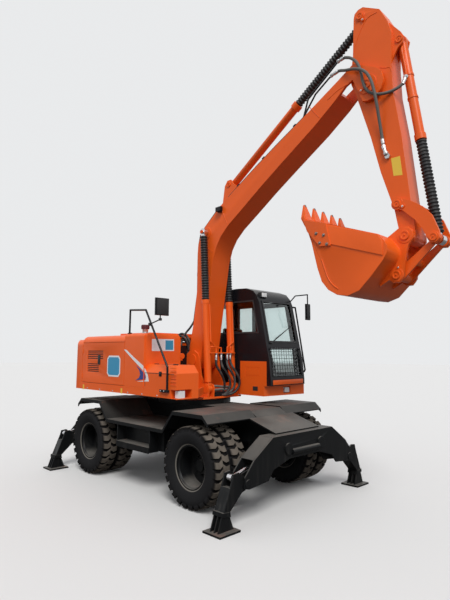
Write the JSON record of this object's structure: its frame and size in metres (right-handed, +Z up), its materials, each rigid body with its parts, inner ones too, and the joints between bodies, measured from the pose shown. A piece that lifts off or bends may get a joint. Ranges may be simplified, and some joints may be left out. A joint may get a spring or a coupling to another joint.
{
  "type": "wheeled excavator",
  "caption": "Wheeled excavator with outriggers down, twin tyres, swinging upper body, cab, one-piece boom, arm and a bucket curled under it.",
  "frame": {"origin": "on the ground, on the axis the upper structure swings about, midway between the axles", "axes": "+X forward along the chassis, +Y to the machine's left, +Z up"},
  "size_m": [6.35, 3.2, 6.429],
  "materials": {
    "bellows_rubber": "matt",
    "black_paint": "satin black paint with road dust",
    "black_plastic": "grained",
    "cab_paint": "satin black paint",
    "chrome_steel": "hard chromed rods",
    "engine_iron": "as cast",
    "lamp_lens": "clear lens",
    "orange_paint": "semi-gloss orange paint, dusty",
    "tyre_rubber": "matt tread rubber",
    "window_glass": "clear safety glass"
  },
  "bodies": {
    "chassis": {"chassis_frame": "black_paint", "fenders": "black_paint", "side_steps": "black_paint", "axles": "black_paint", "outrigger_beam_front": "black_paint", "outrigger_beam_rear": "black_paint"},
    "upper": {"upper_frame": "orange_paint", "counterweight": "orange_paint", "engine_block": "engine_iron", "body_panels": "cab_paint", "fuel_tank": "orange_paint", "tool_box": "orange_paint", "cab_shell": "cab_paint", "cab_glass": "window_glass", "cab_interior": "black_plastic", "handrails": "cab_paint", "mirrors": "black_plastic", "lamps": "lamp_lens"},
    "boom": {"boom": "orange_paint", "boom_lines": "cab_paint"},
    "boom_barrels": {"boom_barrels": "orange_paint"},
    "boom_rods": {"boom_rods": "chrome_steel", "boom_bellows": "bellows_rubber"},
    "arm": {"arm": "orange_paint"},
    "arm_barrel": {"arm_barrel": "orange_paint"},
    "arm_rod": {"arm_rod": "chrome_steel", "arm_bellows": "bellows_rubber"},
    "bucket": {"bucket": "orange_paint"},
    "rocker": {"rocker": "orange_paint"},
    "push_link": {"push_link": "orange_paint"},
    "bucket_barrel": {"bucket_barrel": "orange_paint"},
    "bucket_rod": {"bucket_rod": "chrome_steel", "bucket_bellows": "bellows_rubber"},
    "cab_door": {"cab_door": "cab_paint", "cab_door_glass": "window_glass"},
    "engine_hood": {"engine_hood": "orange_paint"},
    "side_door_left": {"side_door_left": "orange_paint"},
    "side_door_right": {"side_door_right": "orange_paint"},
    "knuckle_left": {"knuckle_left": "black_paint"},
    "knuckle_right": {"knuckle_right": "black_paint"},
    "wheels_front_left": {"tyres_front_left": "tyre_rubber", "rims_front_left": "black_paint"},
    "wheels_front_right": {"tyres_front_right": "tyre_rubber", "rims_front_right": "black_paint"},
    "wheels_rear_left": {"tyres_rear_left": "tyre_rubber", "rims_rear_left": "black_paint"},
    "wheels_rear_right": {"tyres_rear_right": "tyre_rubber", "rims_rear_right": "black_paint"},
    "leg_front_left": {"leg_front_left": "black_paint"},
    "leg_barrel_front_left": {"leg_barrel_front_left": "black_paint"},
    "leg_rod_front_left": {"leg_rod_front_left": "chrome_steel"},
    "leg_front_right": {"leg_front_right": "black_paint"},
    "leg_barrel_front_right": {"leg_barrel_front_right": "black_paint"},
    "leg_rod_front_right": {"leg_rod_front_right": "chrome_steel"},
    "leg_rear_left": {"leg_rear_left": "black_paint"},
    "leg_barrel_rear_left": {"leg_barrel_rear_left": "black_paint"},
    "leg_rod_rear_left": {"leg_rod_rear_left": "chrome_steel"},
    "leg_rear_right": {"leg_rear_right": "black_paint"},
    "leg_barrel_rear_right": {"leg_barrel_rear_right": "black_paint"},
    "leg_rod_rear_right": {"leg_rod_rear_right": "chrome_steel"}
  },
  "joints": [
    {"name": "swing", "type": "hinge", "parent": "chassis", "child": "upper", "pos_m": [0, 0, 1.2702], "axis": [0, 0, 1], "continuous": true},
    {"name": "steer_left", "type": "hinge", "parent": "chassis", "child": "knuckle_left", "pos_m": [1.3, 0.6, 0.526], "axis": [0, 0, 1], "range_deg": [-15, 15]},
    {"name": "steer_right", "type": "hinge", "parent": "chassis", "child": "knuckle_right", "pos_m": [1.3, -0.6, 0.526], "axis": [0, 0, 1], "range_deg": [-15, 15]},
    {"name": "roll_front_left", "type": "hinge", "parent": "knuckle_left", "child": "wheels_front_left", "pos_m": [1.3, 0.9435, 0.526], "axis": [0, 1, 0], "continuous": true},
    {"name": "roll_front_right", "type": "hinge", "parent": "knuckle_right", "child": "wheels_front_right", "pos_m": [1.3, -0.9435, 0.526], "axis": [0, 1, 0], "continuous": true},
    {"name": "roll_rear_left", "type": "hinge", "parent": "chassis", "child": "wheels_rear_left", "pos_m": [-1.3, 0.9435, 0.526], "axis": [0, 1, 0], "continuous": true},
    {"name": "roll_rear_right", "type": "hinge", "parent": "chassis", "child": "wheels_rear_right", "pos_m": [-1.3, -0.9435, 0.526], "axis": [0, 1, 0], "continuous": true},
    {"name": "leg_front_left", "type": "hinge", "parent": "chassis", "child": "leg_front_left", "pos_m": [2.1335, 1.117, 0.484], "axis": [1, 0, 0], "range_deg": [0, 70]},
    {"name": "leg_barrel_front_left", "type": "hinge", "parent": "chassis", "child": "leg_barrel_front_left", "pos_m": [2.1335, 0.36, 0.785], "axis": [1, 0, 0], "range_deg": [-1, 6]},
    {"name": "leg_rod_front_left", "type": "slide", "parent": "leg_barrel_front_left", "child": "leg_rod_front_left", "axis": [0, 0.9741, -0.2262], "range_m": [-0.2115, 0.002]},
    {"name": "leg_front_right", "type": "hinge", "parent": "chassis", "child": "leg_front_right", "pos_m": [2.1335, -1.117, 0.484], "axis": [-1, 0, 0], "range_deg": [0, 70]},
    {"name": "leg_barrel_front_right", "type": "hinge", "parent": "chassis", "child": "leg_barrel_front_right", "pos_m": [2.1335, -0.36, 0.785], "axis": [-1, 0, 0], "range_deg": [-1, 6]},
    {"name": "leg_rod_front_right", "type": "slide", "parent": "leg_barrel_front_right", "child": "leg_rod_front_right", "axis": [0, -0.9741, -0.2262], "range_m": [-0.2115, 0.002]},
    {"name": "leg_rear_left", "type": "hinge", "parent": "chassis", "child": "leg_rear_left", "pos_m": [-2.0035, 1.117, 0.484], "axis": [1, 0, 0], "range_deg": [0, 70]},
    {"name": "leg_barrel_rear_left", "type": "hinge", "parent": "chassis", "child": "leg_barrel_rear_left", "pos_m": [-2.0035, 0.36, 0.785], "axis": [1, 0, 0], "range_deg": [-1, 6]},
    {"name": "leg_rod_rear_left", "type": "slide", "parent": "leg_barrel_rear_left", "child": "leg_rod_rear_left", "axis": [0, 0.9741, -0.2262], "range_m": [-0.2115, 0.002]},
    {"name": "leg_rear_right", "type": "hinge", "parent": "chassis", "child": "leg_rear_right", "pos_m": [-2.0035, -1.117, 0.484], "axis": [-1, 0, 0], "range_deg": [0, 70]},
    {"name": "leg_barrel_rear_right", "type": "hinge", "parent": "chassis", "child": "leg_barrel_rear_right", "pos_m": [-2.0035, -0.36, 0.785], "axis": [-1, 0, 0], "range_deg": [-1, 6]},
    {"name": "leg_rod_rear_right", "type": "slide", "parent": "leg_barrel_rear_right", "child": "leg_rod_rear_right", "axis": [0, -0.9741, -0.2262], "range_m": [-0.2115, 0.002]},
    {"name": "boom", "type": "hinge", "parent": "upper", "child": "boom", "pos_m": [0.2, 0, 1.89], "axis": [0, -1, 0], "range_deg": [-58, 3]},
    {"name": "boom_barrels", "type": "hinge", "parent": "upper", "child": "boom_barrels", "pos_m": [0.62, 0, 1.45], "axis": [0, -1, 0], "range_deg": [-52, 3]},
    {"name": "boom_rods", "type": "slide", "parent": "boom_barrels", "child": "boom_rods", "axis": [-0.0557, 0, 0.9984], "range_m": [-0.525, 0.03], "deforming": ["boom_bellows"]},
    {"name": "arm", "type": "hinge", "parent": "boom", "child": "arm", "pos_m": [3.4, 0, 5.325], "axis": [0, 1, 0], "range_deg": [-42, 8]},
    {"name": "arm_barrel", "type": "hinge", "parent": "boom", "child": "arm_barrel", "pos_m": [0.885, 0, 4.705], "axis": [0, 1, 0], "range_deg": [-4, 1.5]},
    {"name": "arm_rod", "type": "slide", "parent": "arm_barrel", "child": "arm_rod", "axis": [0.8315, 0, 0.5555], "range_m": [-0.71, 0.14], "deforming": ["arm_bellows"]},
    {"name": "bucket", "type": "hinge", "parent": "arm", "child": "bucket", "pos_m": [3.804, 0, 3.34], "axis": [0, 1, 0], "range_deg": [-80, 4]},
    {"name": "rocker", "type": "hinge", "parent": "arm", "child": "rocker", "pos_m": [3.72, 0, 3.729], "axis": [0, 1, 0], "range_deg": [-45, 3]},
    {"name": "push_link", "type": "hinge", "parent": "bucket", "child": "push_link", "pos_m": [3.689, 0, 2.898], "axis": [0, 1, 0], "range_deg": [-3, 40]},
    {"name": "bucket_barrel", "type": "hinge", "parent": "arm", "child": "bucket_barrel", "pos_m": [3.78, 0, 5.79], "axis": [0, 1, 0], "range_deg": [-8, 1]},
    {"name": "bucket_rod", "type": "slide", "parent": "bucket_barrel", "child": "bucket_rod", "axis": [0.1329, 0, -0.9911], "range_m": [-0.36, 0.03], "deforming": ["bucket_bellows"]},
    {"name": "cab_door", "type": "hinge", "parent": "upper", "child": "cab_door", "pos_m": [0.338, 1.219, 2.2], "axis": [0, 0, 1], "range_deg": [0, 90]},
    {"name": "engine_hood", "type": "hinge", "parent": "upper", "child": "engine_hood", "pos_m": [-0.246, 0, 2.276], "axis": [0, 1, 0], "range_deg": [0, 50]},
    {"name": "side_door_left", "type": "hinge", "parent": "upper", "child": "side_door_left", "pos_m": [-1.55, 1.245, 1.83], "axis": [0, 0, 1], "range_deg": [0, 80]},
    {"name": "side_door_right", "type": "hinge", "parent": "upper", "child": "side_door_right", "pos_m": [-1.55, -1.245, 1.83], "axis": [0, 0, -1], "range_deg": [0, 80]}
  ],
  "couplings": [
    {"joint": "steer_right", "follows": "steer_left", "ratio": 1},
    {"joint": "leg_barrel_front_left", "follows": "leg_front_left", "ratio": 0.063},
    {"joint": "leg_rod_front_left", "follows": "leg_front_left", "m_per_rad": -0.1707},
    {"joint": "leg_barrel_front_right", "follows": "leg_front_right", "ratio": 0.063},
    {"joint": "leg_rod_front_right", "follows": "leg_front_right", "m_per_rad": -0.1707},
    {"joint": "leg_barrel_rear_left", "follows": "leg_rear_left", "ratio": 0.063},
    {"joint": "leg_rod_rear_left", "follows": "leg_rear_left", "m_per_rad": -0.1707},
    {"joint": "leg_barrel_rear_right", "follows": "leg_rear_right", "ratio": 0.063},
    {"joint": "leg_rod_rear_right", "follows": "leg_rear_right", "m_per_rad": -0.1707},
    {"joint": "boom_barrels", "follows": "boom", "ratio": 0.88},
    {"joint": "boom_rods", "follows": "boom", "m_per_rad": 0.5157},
    {"joint": "arm_barrel", "follows": "arm", "ratio": 0.07},
    {"joint": "arm_rod", "follows": "arm", "m_per_rad": 0.957},
    {"joint": "rocker", "follows": "bucket", "ratio": 0.55},
    {"joint": "push_link", "follows": "bucket", "ratio": -0.49},
    {"joint": "bucket_barrel", "follows": "bucket", "ratio": 0.09},
    {"joint": "bucket_rod", "follows": "bucket", "m_per_rad": 0.246}
  ]
}
